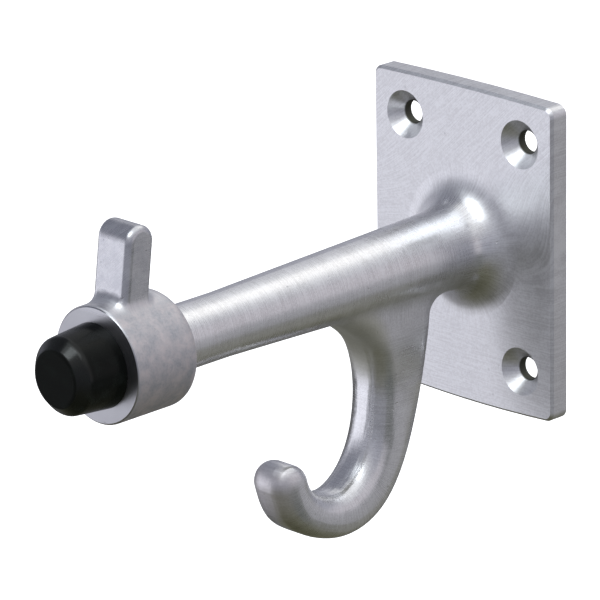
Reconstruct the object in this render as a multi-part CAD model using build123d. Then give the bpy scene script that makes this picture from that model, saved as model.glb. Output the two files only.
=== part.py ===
"""Wall door stop with a coat hook: a one-piece aluminium casting with a rubber bumper.

Frame: the wall is the plane Y = 0 and the arm stands out along -Y, X runs across the plate and Z is up.
The origin is the centre of the plate's back face. All sizes are in millimetres, all angles in degrees.
"""
from build123d import *

import os
from math import cos, radians, sin, tan

# Wall plate
PLATE_WIDTH = 50.8
PLATE_HEIGHT = 68.0
PLATE_THICKNESS = 4.4
PLATE_CORNER_RADIUS = 2.2
PLATE_FRONT_CHAMFER = 0.6
PLATE_TOP_BOW = 0.4
PLATE_BOTTOM_BOW = 0.9

# Screw holes through the plate
SCREW_SPACING_X = 32.6
SCREW_SPACING_Z = 49.5
SCREW_HOLE_DIAMETER = 4.8
COUNTERSINK_DIAMETER = 10.4
COUNTERSINK_ANGLE = 90.0

# Arm: a round bar, plain behind the head, that tapers out to the plate and flares into it
ARM_ROOT_DIAMETER = 18.0
ARM_TIP_DIAMETER = 13.5
ARM_TAPER_LENGTH = 73.0
ARM_FLARE_RADIUS = 7.0

# Head: a drum on the end of the arm
HEAD_REACH = 109.0
HEAD_LENGTH = 16.9
HEAD_DIAMETER = 24.4
HEAD_BACK_EDGE_RADIUS = 2.4
HEAD_FRONT_CHAMFER = 0.4

# Finger: an upright tab on the head that keeps a garment on the arm
FINGER_TOP = 27.7
FINGER_WIDTH = 9.6
FINGER_DEPTH = 7.0
FINGER_SETBACK = 3.5
FINGER_LEAN = 7.5
FINGER_EDGE_RADIUS = 1.4
FINGER_ROOT_FILLET = 2.8

# Hook: a flat-sided shank that flares into the arm's underside and runs down into a rounded bowl
# Its centre curve is two tangent arcs, and turn angles count from the waist, where it hangs plumb
HOOK_WAIST_REACH = 27.2
HOOK_WAIST_DROP = 19.4
HOOK_SHANK_BEND_RADIUS = 48.0
HOOK_BOWL_RADIUS = 14.3
HOOK_SHOULDER_TURN = -9.0
HOOK_NECK_TURN = 13.0
HOOK_BOWL_TURN = 27.0
HOOK_TIP_TURN = 165.0
HOOK_ROOT_REACH = 32.5
HOOK_ROOT_DEPTH = 29.0
HOOK_SHOULDER_DEPTH = 19.4
HOOK_WAIST_DEPTH = 15.2
HOOK_NECK_DEPTH = 11.9
HOOK_BOWL_DEPTH = 9.4
HOOK_TIP_DEPTH = 8.4
HOOK_WIDTH = 11.6
HOOK_EDGE_RADIUS = 3.8
HOOK_ARM_FILLET = 6.0

# Rubber bumper, held by a stem in the head's blind hole
BUMPER_BASE_DIAMETER = 17.6
BUMPER_SHOULDER_DIAMETER = 16.1
BUMPER_NOSE_DIAMETER = 11.6
BUMPER_SHOULDER_REACH = 9.0
BUMPER_REACH = 11.2
BUMPER_SHOULDER_RADIUS = 1.6
BUMPER_NOSE_RADIUS = 1.2
STEM_DIAMETER = 8.0
STEM_LENGTH = 8.0
STEM_CLEARANCE = 0.1


def wall_plate() -> Part:
    """Plate with bowed ends, rounded corners and a broken front edge."""
    right = PLATE_WIDTH / 2
    top = PLATE_HEIGHT / 2
    with BuildPart() as plate:
        with BuildSketch(Plane.XZ):
            with BuildLine():
                ThreePointArc((-right, top), (0, top + PLATE_TOP_BOW), (right, top))
                Line((right, top), (right, -top))
                ThreePointArc((right, -top), (0, -top - PLATE_BOTTOM_BOW), (-right, -top))
                Line((-right, -top), (-right, top))
            make_face()
            fillet(vertices(), PLATE_CORNER_RADIUS)
        extrude(amount=PLATE_THICKNESS)
        chamfer(faces().sort_by(Axis.Y)[0].edges(), PLATE_FRONT_CHAMFER)
    return plate.part


def arm_and_head() -> Part:
    """Tapered arm and drum head, turned about one axis square to the plate."""
    head_back = HEAD_LENGTH - HEAD_REACH
    root = -PLATE_THICKNESS / 2
    with BuildPart() as turned:
        with BuildSketch(Plane.YZ):
            with BuildLine():
                Polyline(
                    (root, 0),
                    (root, ARM_ROOT_DIAMETER / 2),
                    (root - ARM_TAPER_LENGTH, ARM_TIP_DIAMETER / 2),
                    (head_back, ARM_TIP_DIAMETER / 2),
                    (head_back, HEAD_DIAMETER / 2),
                    (-HEAD_REACH, HEAD_DIAMETER / 2),
                    (-HEAD_REACH, 0),
                    close=True,
                )
            make_face()
        revolve(axis=Axis.Y)
        rims = edges().filter_by(GeomType.CIRCLE).group_by(SortBy.RADIUS)[-1].sort_by(Axis.Y)
        chamfer(rims[0], HEAD_FRONT_CHAMFER)
        rims = edges().filter_by(GeomType.CIRCLE).filter_by_position(Axis.Y, head_back, head_back)
        fillet(rims.sort_by(SortBy.RADIUS)[-1], HEAD_BACK_EDGE_RADIUS)
    return turned.part


def finger() -> Part:
    """Upright tab with a full-round top, leaning back towards the wall."""
    top_centre_height = FINGER_TOP - FINGER_DEPTH / 2
    root_height = HEAD_DIAMETER / 2
    root_reach = HEAD_REACH - FINGER_SETBACK - FINGER_DEPTH / 2
    lean = tan(radians(FINGER_LEAN))
    top_centre = (-root_reach + (top_centre_height - root_height) * lean, top_centre_height)
    with BuildPart() as tab:
        with BuildSketch(Plane.YZ):
            SlotCenterPoint((-root_reach, root_height), top_centre, FINGER_DEPTH)
        extrude(amount=FINGER_WIDTH / 2, both=True)
        sides = faces().filter_by(Axis.X)
        fillet(sides.edges(), FINGER_EDGE_RADIUS)
    return tab.part


def hook_centre(turn: float) -> tuple[float, float]:
    """Point (Y, Z) of the hook's centre curve where it has turned by so many degrees from plumb."""
    bend = HOOK_SHANK_BEND_RADIUS
    shank_turn = radians(min(turn, HOOK_BOWL_TURN))
    y = -HOOK_WAIST_REACH - bend * (1 - cos(shank_turn))
    z = -HOOK_WAIST_DROP - bend * sin(shank_turn)
    if turn > HOOK_BOWL_TURN:
        y += HOOK_BOWL_RADIUS * (cos(radians(turn)) - cos(shank_turn))
        z -= HOOK_BOWL_RADIUS * (sin(radians(turn)) - sin(shank_turn))
    return y, z


def hook_edge_point(turn: float, offset: float) -> tuple[float, float]:
    """Point (Y, Z) beside the centre curve, the offset counted towards the outside of the bend."""
    y, z = hook_centre(turn)
    return y + offset * cos(radians(turn)), z - offset * sin(radians(turn))


def hook() -> Part:
    """Hook cut from its side outline, with rounded edges and a domed tip."""
    root_centre = -HOOK_ROOT_REACH
    bowl_bottom_turn = 90.0
    depths = {
        HOOK_SHOULDER_TURN: HOOK_SHOULDER_DEPTH,
        0.0: HOOK_WAIST_DEPTH,
        HOOK_NECK_TURN: HOOK_NECK_DEPTH,
        (HOOK_BOWL_TURN + bowl_bottom_turn) / 2: (HOOK_NECK_DEPTH + HOOK_BOWL_DEPTH) / 2,
        bowl_bottom_turn: HOOK_BOWL_DEPTH,
        (HOOK_TIP_TURN + bowl_bottom_turn) / 2: (HOOK_TIP_DEPTH + HOOK_BOWL_DEPTH) / 2,
        HOOK_TIP_TURN: HOOK_TIP_DEPTH,
    }
    inner = [(root_centre - HOOK_ROOT_DEPTH / 2, 0)]
    inner += [hook_edge_point(turn, -depth / 2) for turn, depth in depths.items()]
    outer = [(root_centre + HOOK_ROOT_DEPTH / 2, 0)]
    outer += [hook_edge_point(turn, depth / 2) for turn, depth in depths.items()]
    tip_along = (-sin(radians(HOOK_TIP_TURN)), -cos(radians(HOOK_TIP_TURN)))
    with BuildPart() as body:
        with BuildSketch(Plane.YZ):
            with BuildLine():
                inner_edge = Spline(*inner, tangents=[(0, -1), tip_along])
                outer_edge = Spline(*outer, tangents=[(0, -1), tip_along])
                TangentArc(inner_edge @ 1, outer_edge @ 1, tangent=tip_along)
                Line(inner_edge @ 0, outer_edge @ 0)
            make_face()
        extrude(amount=HOOK_WIDTH / 2, both=True)
        sides = faces().filter_by(Axis.X)
        root = faces().sort_by(Axis.Z)[-1]
        rounded = [edge for edge in sides.edges() if edge not in root.edges()]
        fillet(rounded, HOOK_EDGE_RADIUS)
    return body.part


def screw_holes() -> Part:
    """Four countersunk screw holes, open at the plate's front face."""
    front = Plane((0, -PLATE_THICKNESS, 0), x_dir=(1, 0, 0), z_dir=(0, -1, 0))
    sink_depth = (COUNTERSINK_DIAMETER - SCREW_HOLE_DIAMETER) / 2 / tan(radians(COUNTERSINK_ANGLE / 2))
    with BuildPart() as holes:
        with Locations(front):
            with GridLocations(SCREW_SPACING_X, SCREW_SPACING_Z, 2, 2):
                Cylinder(SCREW_HOLE_DIAMETER / 2, 2 * PLATE_THICKNESS)
                Cone(
                    SCREW_HOLE_DIAMETER / 2,
                    COUNTERSINK_DIAMETER / 2,
                    sink_depth,
                    align=(Align.CENTER, Align.CENTER, Align.MAX),
                )
    return holes.part


def stem_hole() -> Part:
    """Blind hole in the head's face for the bumper's stem."""
    face = Plane((0, -HEAD_REACH, 0), x_dir=(1, 0, 0), z_dir=(0, 1, 0))
    return face * Cylinder(
        STEM_DIAMETER / 2 + STEM_CLEARANCE,
        STEM_LENGTH + STEM_CLEARANCE,
        align=(Align.CENTER, Align.CENTER, Align.MIN),
    )


def joined(body: Part, added: Part, blend_radius: float) -> Part:
    """Fuse a piece of the casting to the rest and round the seam between them."""
    whole = body + added
    seam = new_edges(body, added, combined=whole)
    return whole.fillet(blend_radius, seam)


def casting() -> Part:
    """The whole casting: plate, arm, head, finger and hook, with its holes."""
    body = joined(wall_plate(), arm_and_head(), ARM_FLARE_RADIUS)
    body = joined(body, hook(), HOOK_ARM_FILLET)
    body = joined(body, finger(), FINGER_ROOT_FILLET)
    return body - screw_holes() - stem_hole()


def bumper() -> Part:
    """Tapered rubber bumper with a rounded nose and a stem behind its base."""
    base = -HEAD_REACH
    with BuildPart() as rubber:
        with BuildSketch(Plane.YZ):
            with BuildLine():
                Polyline(
                    (base + STEM_LENGTH, 0),
                    (base + STEM_LENGTH, STEM_DIAMETER / 2),
                    (base, STEM_DIAMETER / 2),
                    (base, BUMPER_BASE_DIAMETER / 2),
                    (base - BUMPER_SHOULDER_REACH, BUMPER_SHOULDER_DIAMETER / 2),
                    (base - BUMPER_REACH, BUMPER_NOSE_DIAMETER / 2),
                    (base - BUMPER_REACH, 0),
                    close=True,
                )
            make_face()
            nose = vertices().group_by(Axis.X)[0].sort_by(Axis.Y)[-1]
            fillet(nose, BUMPER_NOSE_RADIUS)
            shoulder = vertices().filter_by_position(Axis.X, base - BUMPER_SHOULDER_REACH, base - BUMPER_SHOULDER_REACH)
            fillet(shoulder, BUMPER_SHOULDER_RADIUS)
        revolve(axis=Axis.Y)
    return rubber.part


NODES = {
    "hook_casting": casting,
    "rubber_bumper": bumper,
}

os.makedirs("parts", exist_ok=True)
for name, make in NODES.items():
    export_step(make(), f"parts/{name}.step")
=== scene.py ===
"""Dress the wall door stop: a brushed aluminium casting with a coat hook, and its rubber bumper.

Sizes are in millimetres, as on a drawing, and become metres where they meet Blender. The wall is the plane
Y = 0, the arm stands out along -Y and Z is up.
"""
from __future__ import annotations

import logging
import math
from dataclasses import dataclass
from enum import Enum
from typing import Union

import bpy
from mathutils import Matrix, Vector


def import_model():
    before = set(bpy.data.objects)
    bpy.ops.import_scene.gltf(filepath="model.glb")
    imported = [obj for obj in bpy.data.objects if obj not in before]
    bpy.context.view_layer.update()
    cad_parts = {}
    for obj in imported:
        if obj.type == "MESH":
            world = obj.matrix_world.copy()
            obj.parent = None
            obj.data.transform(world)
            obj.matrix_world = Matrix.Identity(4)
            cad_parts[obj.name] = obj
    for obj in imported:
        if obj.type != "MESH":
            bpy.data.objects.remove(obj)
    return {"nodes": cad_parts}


MM = 0.001
PHOTO_PIXELS = 600
NOISE_MIDDLE = 0.5

log = logging.getLogger("door_stop")

Colour = tuple[float, float, float]
Place = tuple[float, float, float]
Span = tuple[float, float]
Stops = tuple[tuple[float, Colour], ...]
Input = Union["Value", bpy.types.NodeSocket, float, tuple]


class Value:
    """A number on a node's output, with the arithmetic that shader maths needs."""

    def __init__(self, graph: Graph, socket: bpy.types.NodeSocket) -> None:
        """Keep the socket and the graph it belongs to."""
        self.graph = graph
        self.socket = socket

    def math(self, operation: str, *operands: Input) -> Value:
        """Add a Math node that works on this value.

        Args:
            operation: The Math node's operation.
            operands: The other values, in the node's order.

        Returns:
            The node's result.
        """
        inputs = dict(enumerate((self, *operands)))
        return self.graph.value("ShaderNodeMath", {"operation": operation}, inputs)

    def __add__(self, other: Input) -> Value:
        """Sum of two values."""
        return self.math("ADD", other)

    __radd__ = __add__

    def __mul__(self, other: Input) -> Value:
        """Product of two values."""
        return self.math("MULTIPLY", other)

    __rmul__ = __mul__

    def __sub__(self, other: Input) -> Value:
        """This value less another."""
        return self.math("SUBTRACT", other)

    def __rsub__(self, other: Input) -> Value:
        """A number less this value."""
        return self.math("MULTIPLY", -1.0) + other

    def reach(self, other: Value) -> Value:
        """Distance from the origin to the point that has this value and another as its coordinates."""
        return (self * self + other * other).math("SQRT")

    def rise(self, low: float, high: float) -> Value:
        """Smooth step of this value.

        Args:
            low: Where the step leaves 0.
            high: Where the step reaches 1; it may lie below low for a falling step.

        Returns:
            A value from 0 to 1.
        """
        if low > high:
            return 1.0 - self.rise(high, low)
        settings = {"interpolation_type": "SMOOTHSTEP"}
        inputs = {"Value": self, "From Min": low, "From Max": high}
        return self.graph.value("ShaderNodeMapRange", settings, inputs)


class Graph:
    """A node tree that is written as expressions."""

    def __init__(self, tree: bpy.types.NodeTree) -> None:
        """Start from an empty tree."""
        self.tree = tree
        tree.nodes.clear()

    @classmethod
    def of_material(cls, name: str) -> tuple[bpy.types.Material, Graph]:
        """Start a material.

        Args:
            name: The material's name.

        Returns:
            The material and its graph.
        """
        made = bpy.data.materials.new(name)
        made.use_nodes = True
        return made, cls(made.node_tree)

    def add(self, kind: str, settings: dict | None = None, inputs: dict | None = None) -> bpy.types.Node:
        """Add one node.

        Args:
            kind: The node's type name.
            settings: Attributes of the node, set before its sockets; "stops" fills a colour ramp.
            inputs: Socket names or numbers, with values or links.

        Returns:
            The node.
        """
        node = self.tree.nodes.new(kind)
        for name, setting in (settings or {}).items():
            if name == "stops":
                self.fill_ramp(node.color_ramp, setting)
            else:
                setattr(node, name, setting)
        for name, given in (inputs or {}).items():
            socket = node.inputs[name]
            if isinstance(given, Value):
                given = given.socket
            if isinstance(given, bpy.types.NodeSocket):
                self.tree.links.new(given, socket)
            else:
                socket.default_value = given
        return node

    @staticmethod
    def fill_ramp(ramp: bpy.types.ColorRamp, stops: Stops) -> None:
        """Give a colour ramp its stops.

        Args:
            ramp: The ramp.
            stops: The place and colour of each stop, in order.
        """
        while len(ramp.elements) < len(stops):
            ramp.elements.new(1.0)
        for element, (place, colour) in zip(ramp.elements, stops):
            element.position = place
            element.color = (*colour, 1.0)

    def value(self, kind: str, settings: dict, inputs: dict) -> Value:
        """Add one node, with the arguments of add, and wrap its first output."""
        return Value(self, self.add(kind, settings, inputs).outputs[0])

    def blend(self, share: Input, low: Input, high: Input, label: str = "") -> bpy.types.NodeSocket:
        """Mix two colours.

        Args:
            share: How much of the second colour shows.
            low: The first colour.
            high: The second colour.
            label: What the node tree shows on the node.

        Returns:
            The mixed colour's socket.
        """
        low = (*low, 1.0) if isinstance(low, tuple) else low
        high = (*high, 1.0) if isinstance(high, tuple) else high
        inputs = {"Factor": share, 6: low, 7: high}
        return self.add("ShaderNodeMix", {"data_type": "RGBA", "label": label}, inputs).outputs[2]

    def pick(self, share: Value, low: Input, high: Input) -> Value:
        """Mix two numbers, with the shares and order of blend."""
        return self.value("ShaderNodeMix", {"data_type": "FLOAT"}, {"Factor": share, "A": low, "B": high})

    def vector(self, x: Input, y: Input, z: Input) -> bpy.types.NodeSocket:
        """Join three numbers into a vector."""
        return self.add("ShaderNodeCombineXYZ", inputs={"X": x, "Y": y, "Z": z}).outputs[0]

    def noise(self, place: Input, scale: float, detail: float = 2.0, roughness: float = 0.5) -> Value:
        """Add a noise pattern.

        Args:
            place: The vector that the pattern is read at.
            scale: Cells in one unit.
            detail: Octaves.
            roughness: How strongly the fine octaves show.

        Returns:
            The noise, about 0.5.
        """
        inputs = {"Vector": place, "Scale": scale, "Detail": detail, "Roughness": roughness}
        return self.value("ShaderNodeTexNoise", {"noise_dimensions": "3D"}, inputs)

    def bump(self, height: Value) -> bpy.types.NodeSocket:
        """Normal of a surface with a height in metres."""
        inputs = {"Strength": 1.0, "Distance": 1.0, "Height": height}
        return self.add("ShaderNodeBump", inputs=inputs).outputs[0]

    def surface(self, inputs: dict) -> None:
        """End a material with a Principled shader that has the given sockets."""
        shader = self.add("ShaderNodeBsdfPrincipled", inputs=inputs)
        self.add("ShaderNodeOutputMaterial", inputs={"Surface": shader.outputs[0]})


class Coordinates(Enum):
    """What a shader reads its point from: a place on a piece, or a direction in the room."""

    PIECE = "Object"
    ROOM = "Generated"


class Stroke(Enum):
    """Scale of a brushed stroke pattern, in cells per metre, along and across its grain."""

    ALONG = 160.0
    ACROSS = 4200.0


class Grain(Enum):
    """Scale of a pattern in a skin, in cells per metre."""

    WAVE = 90.0
    BLOTCH = 260.0
    MOTTLE = 330.0
    DUST = 420.0
    PIT = 900.0
    SPECK = 2400.0
    RUBBER = 5200.0


@dataclass(frozen=True)
class Spot:
    """The point that a shader is read at, as a vector and as its three numbers."""

    vector: bpy.types.NodeSocket
    x: Value
    y: Value
    z: Value

    @classmethod
    def read(cls, graph: Graph, coordinates: Coordinates) -> Spot:
        """Read the point.

        Args:
            graph: The graph that the nodes go into.
            coordinates: What the point is read from.

        Returns:
            The point.
        """
        vector = graph.add("ShaderNodeTexCoord").outputs[coordinates.value]
        split = graph.add("ShaderNodeSeparateXYZ", inputs={"Vector": vector})
        return cls(vector, *(Value(graph, socket) for socket in split.outputs))


@dataclass(frozen=True)
class Fade:
    """A soft edge, in millimetres.

    Attributes:
        start: Where the edge leaves 0.
        end: Where the edge reaches 1.
    """

    start: float
    end: float

    def of(self, length: Value, origin: float = 0.0) -> Value:
        """Smooth step of a length in metres, with the edge measured from an origin in millimetres."""
        return length.rise((origin + self.start) * MM, (origin + self.end) * MM)


@dataclass(frozen=True)
class CastingSizes:
    """The casting's sizes that its finish follows.

    Lengths are in millimetres: reach is out from the wall, and drop is down from the arm's axis. The throat's
    tilt from upright is in degrees.
    """

    plate_thickness: float = 4.4
    head_reach: float = 109.0
    head_length: float = 16.9
    head_radius: float = 12.2
    bowl_reach: float = 45.2
    bowl_drop: float = 34.7
    bowl_radius: float = 14.3
    throat_reach: float = 39.2
    throat_drop: float = 13.2
    throat_tilt: float = 24.775
    throat_half_length: float = 10.776
    throat_half_width: float = 6.984
    screw_side: float = 16.3
    screw_rise: float = 24.75
    screw_radius: float = 2.4


@dataclass(frozen=True)
class CastingMap:
    """The areas that the casting's finish tells apart, each 1 within the area and 0 outside.

    The fades are the areas' soft edges. Those named for out lie along Y, and those named for a level along Z.
    """

    at: Spot
    sizes: CastingSizes
    head_out: Fade = Fade(0.0, -1.0)
    head_level: Fade = Fade(1.0, -2.0)
    finger_level: Fade = Fade(0.0, 2.0)
    rim_out: Fade = Fade(0.25, 0.10)
    plate_out: Fade = Fade(-3.0, -0.5)
    slant_level: Fade = Fade(-12.0, 20.0)
    flare_radius: Fade = Fade(21.0, 14.0)
    flare_near_out: Fade = Fade(-3.0, -4.2)
    flare_far_out: Fade = Fade(-16.0, -10.0)
    under_out: Fade = Fade(-12.0, -16.0)
    under_level: Fade = Fade(-8.0, -14.0)
    hook_out: Fade = Fade(-14.0, -20.0)
    bar_level: Fade = Fade(-12.0, -26.0)
    ripple_level: Fade = Fade(-14.0, -24.0)
    bowl_level: Fade = Fade(-24.0, -36.0)
    bend_level: Fade = Fade(-30.0, -40.0)
    throat_edge: Span = (-0.3, 0.9)
    tip_out: Fade = Fade(-58.5, -62.8)
    tip_level: Fade = Fade(-22.0, -30.0)
    seam_near_out: Fade = Fade(-10.0, -18.0)
    seam_far_out: Fade = Fade(-54.0, -42.0)
    seam_low_level: Fade = Fade(-16.5, -11.5)
    seam_high_level: Fade = Fade(-2.5, -7.0)
    bore_radius: Fade = Fade(0.35, 0.05)

    def before_head(self) -> Value:
        """All that lies in front of the head's back face."""
        return self.head_out.of(self.at.y, self.sizes.head_length - self.sizes.head_reach)

    def head(self) -> Value:
        """The drum of the head, whose skin is duller than that of the finger on it."""
        return self.before_head() * self.head_level.of(self.at.z, self.sizes.head_radius)

    def finger(self) -> Value:
        """The finger on the head, a little duller than the plate."""
        return self.before_head() * self.finger_level.of(self.at.z, self.sizes.head_radius)

    def rim(self) -> Value:
        """The turned face round the bumper, which is smoother than the cast skin; its darker colour is a
        painted reflection of the black bumper.
        """
        return self.rim_out.of(self.at.y, -self.sizes.head_reach)

    def plate(self) -> Value:
        """The plate, whose skin is brushed more coarsely than the arm's."""
        return self.plate_out.of(self.at.y, -self.sizes.plate_thickness)

    def flare(self) -> Value:
        """The front of the arm's flare on the plate."""
        out = self.flare_far_out.of(self.at.y) * self.flare_near_out.of(self.at.y)
        return self.flare_radius.of(self.at.x.reach(self.at.z)) * out

    def under_arm(self) -> Value:
        """The hook, which hangs under the arm."""
        return self.under_level.of(self.at.z) * self.under_out.of(self.at.y)

    def hook_below(self, level: Fade) -> Value:
        """The part of the hook that lies below a level, clear of the plate."""
        return level.of(self.at.z) * self.hook_out.of(self.at.y)

    def from_bowl(self) -> tuple[Value, Value]:
        """How far a point lies from the axis of the hook's bowl, along Y and along Z."""
        return self.at.y + self.sizes.bowl_reach * MM, self.at.z + self.sizes.bowl_drop * MM

    def bar_rise(self) -> Value:
        """Square of the distance from the hook's middle plane, which crowns its bar."""
        return self.at.x * self.at.x * self.hook_below(self.bar_level)

    def bowl_rise(self) -> Value:
        """Square of the distance from the middle line of the hook's bowl, which rounds its flanks.

        Returns:
            The square of the distance in the bowl, and 0 above it.
        """
        out, up = self.from_bowl()
        off = out.reach(up) - self.sizes.bowl_radius * MM
        return off * off * self.hook_below(self.bowl_level)

    def throat(self) -> Value:
        """The hook's throat under the arm, where the colour is painted shade, a dark olive, and the finish is
        rougher.

        Returns:
            1 in the middle of a tilted oval, and 0 outside it.
        """
        sizes = self.sizes
        sine, cosine = math.sin(math.radians(sizes.throat_tilt)), math.cos(math.radians(sizes.throat_tilt))
        out, up = self.at.y + sizes.throat_reach * MM, self.at.z + sizes.throat_drop * MM
        along = (out * sine - up * cosine) * (1.0 / (sizes.throat_half_length * MM))
        across = (out * cosine + up * sine) * (1.0 / (sizes.throat_half_width * MM))
        return (1.0 - along * along - across * across).rise(*self.throat_edge)

    def tip(self) -> Value:
        """The front of the hook's blunt tip, which use has rubbed dull."""
        return self.tip_out.of(self.at.y) * self.tip_level.of(self.at.z)

    def seam(self) -> Value:
        """The seam where the arm runs into the hook, which keeps a rougher skin."""
        out = self.seam_near_out.of(self.at.y) * self.seam_far_out.of(self.at.y)
        return self.seam_low_level.of(self.at.z) * self.seam_high_level.of(self.at.z) * out

    def bores(self) -> Value:
        """The walls of the screw holes, whose near-black colour is painted shade and whose finish is rougher.

        Returns:
            1 in the four bores, 0 elsewhere.
        """
        side = self.at.x.math("ABSOLUTE") - self.sizes.screw_side * MM
        rise = self.at.z.math("ABSOLUTE") - self.sizes.screw_rise * MM
        return self.bore_radius.of(side.reach(rise), self.sizes.screw_radius)


@dataclass(frozen=True)
class Marks:
    """The patterns that show in more than one of the casting's colour, roughness and height."""

    strokes: Value
    blotch: Value
    pit: Value


@dataclass(frozen=True)
class BrushedCasting:
    """Satin aluminium, brushed by hand with strokes that follow each surface.

    Shares say how much of a pattern or skin shows. Spans are the part of a pattern that is stretched from 0
    to 1. Heights are in metres. An area's roughness is added to that of the whole.
    """

    bright: Colour = (0.83, 0.83, 0.85)
    dull: Colour = (0.66, 0.655, 0.67)
    head_skin: Colour = (0.685, 0.638, 0.648)
    # Painted reflection: the rim's darker colour stands in for the black bumper mirrored in the turned face.
    rim_painted_reflection: Colour = (0.43, 0.43, 0.45)
    # Painted shade: the dark olive of the hook's throat stands in for the ground mirrored in the crease.
    throat_painted_shade: Colour = (0.50, 0.495, 0.39)
    # Painted shade: the near-black of the screw bores' walls stands in for the shade inside the holes.
    bore_painted_shade: Colour = (0.085, 0.085, 0.07)
    cool_skin: Colour = (0.475, 0.48, 0.515)
    stroke_share: float = 0.62
    blotch_share: float = 0.26
    speck_share: float = 0.12
    pit_share: float = 0.7
    head_share: float = 0.70
    head_speck_share: float = 0.28
    throat_share: float = 0.7
    finger_share: float = 0.30
    finger_mottle_share: float = 0.40
    tip_share: float = 0.45
    shade_span: Span = (0.34, 0.66)
    pit_span: Span = (0.74, 0.80)
    speck_span: Span = (0.32, 0.68)
    mottle_span: Span = (0.32, 0.68)
    mottle_detail: float = 6.0
    mottle_sharpness: float = 0.72
    roughness: float = 0.28
    roughness_spread: float = 0.12
    blotch_spread: float = 0.10
    head_roughness: float = 0.42
    rim_roughness: float = -0.38
    plate_roughness: float = 0.11
    throat_roughness: float = 0.21
    tip_roughness: float = 0.17
    bore_roughness: float = 0.2
    seam_roughness: float = 0.30
    hook_crown: float = 45.0
    bowl_crown: float = 30.0
    stroke_height: float = 0.000004
    wave_height: float = 0.00008
    pit_depth: float = 0.00004
    ripple_height: float = 0.00015
    ripple_cells: Place = (620.0, 150.0, 110.0)
    ripple_sharpness: float = 0.45
    stroke_slant: float = 0.75
    stroke_detail: float = 3.0
    stroke_sharpness: float = 0.6
    flare_strokes: float = 38.0

    def material(self, sizes: CastingSizes) -> bpy.types.Material:
        """Make the material.

        Args:
            sizes: The casting's sizes, which place the areas and strokes.

        Returns:
            The material.
        """
        made, graph = Graph.of_material("brushed_casting")
        at = Spot.read(graph, Coordinates.PIECE)
        area = CastingMap(at, sizes)
        marks = Marks(
            strokes=self.strokes(graph, area),
            blotch=graph.noise(at.vector, Grain.BLOTCH.value, detail=3.0),
            pit=graph.noise(at.vector, Grain.PIT.value, detail=1.0).rise(*self.pit_span),
        )
        graph.surface({
            "Base Color": self.colour(graph, area, marks),
            "Metallic": 1.0,
            "Roughness": self.rough(area, marks),
            "Normal": graph.bump(self.height(graph, area, marks)),
        })
        return made

    def colour(self, graph: Graph, area: CastingMap, marks: Marks) -> bpy.types.NodeSocket:
        """Brushed metal, and over it the skins of some areas, the painted shade in the hook's throat and
        screw bores, and the painted reflection of the bumper on the rim.

        Args:
            graph: The material's graph.
            area: The casting's areas.
            marks: The patterns in its skin.

        Returns:
            The colour's socket.
        """
        place = area.at.vector
        speck = graph.noise(place, Grain.SPECK.value).rise(*self.speck_span)
        mottle = graph.noise(place, Grain.MOTTLE.value, self.mottle_detail, self.mottle_sharpness)
        mottle = mottle.rise(*self.mottle_span)
        shade = marks.strokes * self.stroke_share + marks.blotch * self.blotch_share
        shade = (shade + speck * self.speck_share).rise(*self.shade_span)
        colour = graph.blend(shade * (1.0 - marks.pit * self.pit_share), self.dull, self.bright)
        mottled_skin = graph.blend(mottle, self.head_skin, self.cool_skin)
        # Head, finger and tip get skins of their own; the throat and bores get painted shade, and the rim a
        # painted reflection of the bumper.
        skins_and_shades = (
            (area.head() * (self.head_share + speck * self.head_speck_share), mottled_skin),
            # The rim's darker colour is a painted reflection of the black bumper.
            (area.rim(), self.rim_painted_reflection),
            # The throat's dark olive is painted shade in the crease under the arm.
            (area.throat() * self.throat_share, self.throat_painted_shade),
            (area.finger() * (self.finger_share + mottle * self.finger_mottle_share), self.cool_skin),
            (area.tip() * self.tip_share, self.head_skin),
            # The bores' near-black is painted shade inside the screw holes.
            (area.bores(), self.bore_painted_shade),
        )
        for share, skin in skins_and_shades:
            colour = graph.blend(share, colour, skin)
        return colour

    def rough(self, area: CastingMap, marks: Marks) -> Value:
        """Roughness of the brushed metal, with what each area adds to it.

        Args:
            area: The casting's areas.
            marks: The patterns in its skin.

        Returns:
            The roughness.
        """
        rough = (marks.strokes - NOISE_MIDDLE) * self.roughness_spread
        rough = rough + (marks.blotch - NOISE_MIDDLE) * self.blotch_spread + self.roughness
        changes = (
            (area.head(), self.head_roughness),
            (area.rim(), self.rim_roughness),
            (area.plate(), self.plate_roughness),
            (area.throat(), self.throat_roughness),
            (area.tip(), self.tip_roughness),
            (area.bores(), self.bore_roughness),
            (area.seam(), self.seam_roughness),
        )
        for share, change in changes:
            rough = rough + share * change
        return rough

    def height(self, graph: Graph, area: CastingMap, marks: Marks) -> Value:
        """Height of the strokes, waves, pits and mould ripples, and the crown of the hook's bar and bowl.

        Args:
            graph: The material's graph.
            area: The casting's areas.
            marks: The patterns in its skin.

        Returns:
            The height, in metres.
        """
        at = area.at
        wave = graph.noise(at.vector, Grain.WAVE.value, detail=1.0)
        height = marks.strokes * self.stroke_height + wave * self.wave_height - marks.pit * self.pit_depth
        height = height - area.bar_rise() * self.hook_crown - area.bowl_rise() * self.bowl_crown
        cells_x, cells_y, cells_z = self.ripple_cells
        stretched = graph.vector(at.x * cells_x, at.y * cells_y, at.z * cells_z)
        ripples = graph.noise(stretched, 1.0, roughness=self.ripple_sharpness)
        return height + ripples * area.hook_below(area.ripple_level) * self.ripple_height

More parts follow.
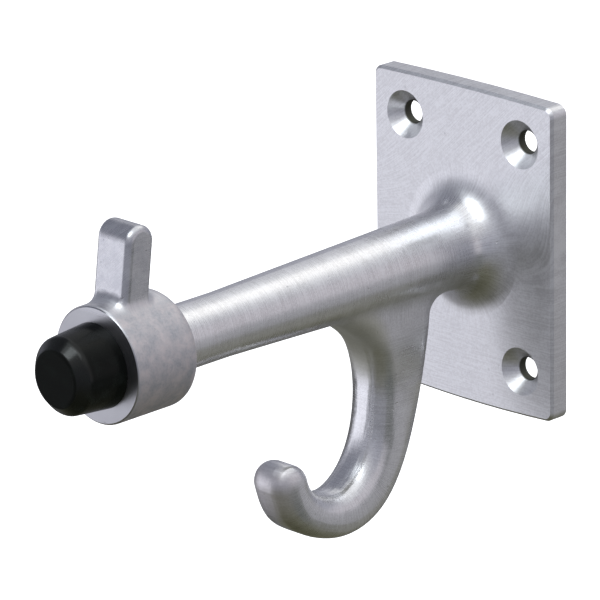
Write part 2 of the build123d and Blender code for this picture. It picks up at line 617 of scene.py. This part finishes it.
    def strokes(self, graph: Graph, area: CastingMap) -> Value:
        """Brush marks that run across the plate, out from the flare, and round the arm, head and hook.

        Args:
            graph: The material's graph.
            area: The casting's areas.

        Returns:
            The strokes' value, about 0.5.
        """
        along, across = Stroke.ALONG.value, Stroke.ACROSS.value
        x, y, z = area.at.x, area.at.y, area.at.z
        slant = area.slant_level.of(z) * self.stroke_slant
        sine, cosine = slant.math("SINE"), slant.math("COSINE")
        turned_x, turned_z = x * cosine + z * sine, z * cosine - x * sine
        plate = self.brush(graph, turned_x * along, y * along, turned_z * across)
        flare_turn = x.math("ARCTAN2", z) * self.flare_strokes
        flare = self.brush(graph, flare_turn, x.reach(z) * along, y * along)
        arm = self.brush(graph, x * along, y * across, z * along)
        shank = self.brush(graph, x * along, y * along, z * across)
        bowl_out, bowl_up = area.from_bowl()
        bowl_turn = bowl_out.math("ARCTAN2", bowl_up) * (area.sizes.bowl_radius * MM * across)
        bowl = self.brush(graph, x * along, bowl_turn, y * along)
        hook = graph.pick(area.bend_level.of(z), shank, bowl)
        bar = graph.pick(area.under_arm(), arm, hook)
        bar = graph.pick(area.finger(), bar, plate)
        return graph.pick(area.flare(), graph.pick(area.plate(), bar, plate), flare)

    def brush(self, graph: Graph, x: Value, y: Value, z: Value) -> Value:
        """Strokes in one direction, read at a point whose coordinates are stretched along them."""
        return graph.noise(graph.vector(x, y, z), 1.0, self.stroke_detail, self.stroke_sharpness)


@dataclass(frozen=True)
class MouldedRubber:
    """Black rubber with a dull skin that catches a soft light on its bevel."""

    colour: Colour = (0.0016, 0.0021, 0.0016)
    dusty: Colour = (0.004, 0.0052, 0.0044)
    dust_span: Span = (0.45, 0.75)
    dust_cover: float = 0.3
    roughness: float = 0.22
    dust_roughness: float = 0.12
    nose_roughness: float = 0.4
    nose_out: Fade = Fade(-119.9, -120.1)
    bevel_out: Fade = Fade(-117.0, -118.0)
    specular: float = 0.08
    sheen: float = 0.10
    bevel_sheen: float = 0.42
    sheen_roughness: float = 0.15
    grain_height: float = 0.00002

    def material(self) -> bpy.types.Material:
        """Make the material.

        Returns:
            The material.
        """
        made, graph = Graph.of_material("moulded_rubber")
        at = Spot.read(graph, Coordinates.PIECE)
        dust = graph.noise(at.vector, Grain.DUST.value, detail=4.0).rise(*self.dust_span)
        grain = graph.noise(at.vector, Grain.RUBBER.value)
        nose, bevel = self.nose_out.of(at.y), self.bevel_out.of(at.y)
        sheen = (bevel * self.bevel_sheen + self.sheen) * (1.0 - nose) * (1.0 - dust * self.dust_cover)
        graph.surface({
            "Base Color": graph.blend(dust, self.colour, self.dusty),
            "Roughness": dust * self.dust_roughness + nose * self.nose_roughness + self.roughness,
            "Specular IOR Level": self.specular,
            "Coat Weight": sheen,
            "Coat Roughness": self.sheen_roughness,
            "Normal": graph.bump(grain * self.grain_height),
        })
        return made


@dataclass(frozen=True)
class PalePaper:
    """The floor's paper, lit from below so that the part throws no shadow on it."""

    colour: Colour = (0.95, 0.95, 0.95)
    roughness: float = 0.9
    glow: float = 0.9

    def material(self) -> bpy.types.Material:
        """Make the material.

        Returns:
            The material.
        """
        made, graph = Graph.of_material("pale_paper")
        graph.surface({
            "Base Color": (*self.colour, 1.0),
            "Roughness": self.roughness,
            "Emission Color": (*self.colour, 1.0),
            "Emission Strength": self.glow,
        })
        return made


@dataclass
class Casting:
    """The one-piece casting: plate, arm, head, finger and hook."""

    node: bpy.types.Object
    sizes: CastingSizes = CastingSizes()
    finish: BrushedCasting = BrushedCasting()

    def dress(self) -> bpy.types.Object:
        """Give the casting its finish.

        Returns:
            The casting.
        """
        self.node.data.materials.clear()
        self.node.data.materials.append(self.finish.material(self.sizes))
        return self.node


@dataclass
class Bumper:
    """The rubber bumper on the head's face."""

    node: bpy.types.Object
    finish: MouldedRubber = MouldedRubber()

    def dress(self) -> bpy.types.Object:
        """Give the bumper its finish.

        Returns:
            The bumper.
        """
        self.node.data.materials.clear()
        self.node.data.materials.append(self.finish.material())
        return self.node


@dataclass(frozen=True)
class SoftBox:
    """A soft studio light.

    Attributes:
        name: The light's name.
        place: Where it stands, in metres.
        width: Its width, in metres.
        height: Its height, in metres.
        glow: Its brightness as the metal mirrors it, where 1 is white in the picture.
        colour: Its tint.
    """

    name: str
    place: Place
    width: float
    height: float
    glow: float
    colour: Colour

    def build(self, target: Vector) -> None:
        """Hang the light so that it faces a point.

        Args:
            target: The point it faces.
        """
        lamp = bpy.data.lights.new(self.name, "AREA")
        lamp.shape = "RECTANGLE"
        lamp.size = self.width
        lamp.size_y = self.height
        lamp.energy = math.pi * self.width * self.height * self.glow
        lamp.color = self.colour
        made = bpy.data.objects.new(self.name, lamp)
        bpy.context.scene.collection.objects.link(made)
        made.location = Vector(self.place)
        made.rotation_euler = (target - made.location).to_track_quat("-Z", "Y").to_euler()


@dataclass(frozen=True)
class Patch:
    """A soft-edged patch of the room that the metal mirrors.

    Attributes:
        name: What stands there.
        turn: Its middle, in degrees from the front towards +X.
        half_width: Half its width, in degrees.
        side_fade: Width of its soft sides, in degrees.
        low: Its lower edge's height, in degrees.
        high: Its upper edge's height, in degrees.
        level_fade: Height of its soft lower and upper edges, in degrees.
        colour: Its brightness and tint, where 1 is white in the picture.
    """

    name: str
    turn: float
    half_width: float
    side_fade: float
    low: float
    high: float
    level_fade: float
    colour: Colour

    def share(self, way: Spot) -> Value:
        """How much of the patch shows in a direction.

        Args:
            way: The direction, one unit long.

        Returns:
            1 within the patch, 0 outside, and between them in its soft edges.
        """
        turn = math.radians(self.turn)
        facing = way.x * math.sin(turn) - way.y * math.cos(turn)
        facing = facing * (way.x * way.x + way.y * way.y).math("INVERSE_SQRT")
        sides = (self.half_width, self.half_width + self.side_fade)
        inner, outer = (math.cos(math.radians(side)) for side in sides)
        levels = (self.low - self.level_fade, self.low, self.high, self.high + self.level_fade)
        below, bottom, top, above = (math.sin(math.radians(level)) for level in levels)
        return facing.rise(outer, inner) * way.z.rise(below, bottom) * way.z.rise(above, top)


@dataclass
class Studio:
    """Floor, light and camera for the photograph's view.

    The camera's place, turn and focal length in pixels come from fitting the plate, holes and head to the
    photograph. Its place, the lights' aim and the floor's drop are in millimetres. The floor's half width and
    the camera's clip are in metres. The sky runs from straight down to straight up.
    """

    camera_place: Place = (729.2, -776.0, 347.8)
    camera_yaw: float = 45.226
    camera_pitch: float = 18.735
    camera_roll: float = -0.957
    camera_clip: Span = (0.01, 100.0)
    focal_pixels: float = 5335.1
    sensor_width: float = 36.0
    floor_drop: float = 600.0
    floor_half: float = 6.0
    aim: Place = (0.0, -55.0, -5.0)
    boxes: tuple[SoftBox, ...] = (
        SoftBox("key_window", (0.02, -0.55, 0.77), 0.84, 0.46, 1.40, (0.94, 1.0, 1.02)),
        SoftBox("key_lamp", (-0.04, -0.68, 0.72), 0.34, 0.22, 3.00, (0.90, 1.0, 1.03)),
    )
    sky: Stops = (
        (0.0, (0.078, 0.078, 0.048)),
        (0.07, (0.122, 0.122, 0.082)),
        (0.18, (0.175, 0.175, 0.140)),
        (0.33, (0.26, 0.265, 0.29)),
        (0.50, (0.36, 0.37, 0.43)),
        (0.67, (0.46, 0.465, 0.52)),
        (0.82, (0.76, 0.77, 0.80)),
        (0.93, (1.08, 1.10, 1.12)),
    )
    patches: tuple[Patch, ...] = (
        Patch("dark_curtain", -75.0, 44.0, 14.0, 22.0, 60.0, 14.0, (0.24, 0.25, 0.30)),
        Patch("left_card", -58.0, 20.0, 10.0, -24.0, -7.0, 20.0, (1.13, 1.14, 1.24)),
        Patch("left_floor", -80.0, 14.0, 12.0, -46.0, -34.0, 9.0, (0.27, 0.27, 0.30)),
        Patch("dark_doorway", -130.0, 32.0, 12.0, -40.0, -14.0, 12.0, (0.15, 0.15, 0.15)),
        Patch("back_window", 178.0, 10.0, 16.0, 38.0, 58.0, 10.0, (1.40, 1.40, 1.38)),
        Patch("back_skirting", 156.0, 12.0, 12.0, -42.0, -18.0, 12.0, (0.26, 0.26, 0.24)),
        Patch("right_wall", 116.0, 26.0, 12.0, -2.0, 22.0, 12.0, (0.62, 0.60, 0.64)),
        Patch("right_skirting", 138.0, 12.0, 12.0, -22.0, -6.0, 8.0, (0.40, 0.40, 0.425)),
        Patch("right_corner", 104.0, 14.0, 10.0, -38.0, -16.0, 8.0, (0.15, 0.16, 0.155)),
    )

    def build(self) -> None:
        """Lay the floor, hang the lights, light the room and place the camera."""
        self.lay_floor()
        for box in self.boxes:
            box.build(Vector(self.aim) * MM)
        self.light_room()
        self.place_camera()
        bpy.context.scene.view_settings.view_transform = "Standard"

    def lay_floor(self) -> None:
        """Lay a pale floor well below the part, which hangs on a wall."""
        bpy.ops.object.select_all(action="DESELECT")
        bpy.ops.mesh.primitive_plane_add(size=2 * self.floor_half, location=(0.0, 0.0, -self.floor_drop * MM))
        floor = bpy.context.object
        floor.name = "floor"
        floor.data.materials.append(PalePaper().material())
        floor.visible_glossy = False

    def light_room(self) -> None:
        """Give the room a bright ceiling, grey walls and a dark olive ground for the metal to mirror."""
        world = bpy.data.worlds.new("studio")
        bpy.context.scene.world = world
        world.use_nodes = True
        graph = Graph(world.node_tree)
        way = Spot.read(graph, Coordinates.ROOM)
        sky = graph.add("ShaderNodeValToRGB", {"stops": self.sky}, {"Fac": way.z * 0.5 + 0.5}).outputs[0]
        for patch in self.patches:
            sky = graph.blend(patch.share(way), sky, patch.colour, patch.name)
        background = graph.add("ShaderNodeBackground", inputs={"Color": sky, "Strength": 1.0})
        graph.add("ShaderNodeOutputWorld", inputs={"Surface": background.outputs[0]})

    def place_camera(self) -> None:
        """Place the camera at the photograph's viewpoint."""
        yaw, pitch = math.radians(self.camera_yaw), math.radians(self.camera_pitch)
        roll = math.radians(self.camera_roll)
        right = Vector((math.cos(yaw), math.sin(yaw), 0.0))
        back = Vector((math.sin(yaw) * math.cos(pitch), -math.cos(yaw) * math.cos(pitch), math.sin(pitch)))
        up = back.cross(right)
        rolled_right = math.cos(roll) * right + math.sin(roll) * up
        rolled_up = math.cos(roll) * up - math.sin(roll) * right
        lens = bpy.data.cameras.new("photo_camera")
        lens.sensor_width = self.sensor_width
        lens.lens = self.focal_pixels / PHOTO_PIXELS * self.sensor_width
        lens.clip_start, lens.clip_end = self.camera_clip
        camera = bpy.data.objects.new("photo_camera", lens)
        bpy.context.scene.collection.objects.link(camera)
        turn = Matrix((rolled_right, rolled_up, back)).transposed().to_4x4()
        camera.matrix_world = Matrix.Translation(Vector(self.camera_place) * MM) @ turn
        bpy.context.scene.camera = camera


def main() -> None:
    """Load the part, dress it and set the studio."""
    logging.basicConfig(level=logging.INFO, format="%(name)s: %(message)s")
    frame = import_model()
    bpy.context.view_layer.update()
    for part in (Casting(frame["nodes"]["hook_casting"]), Bumper(frame["nodes"]["rubber_bumper"])):
        piece = part.dress()
        log.info("%s dressed, %d faces", piece.name, len(piece.data.polygons))
    Studio().build()
    bpy.context.view_layer.update()


if __name__ == "__main__":
    main()
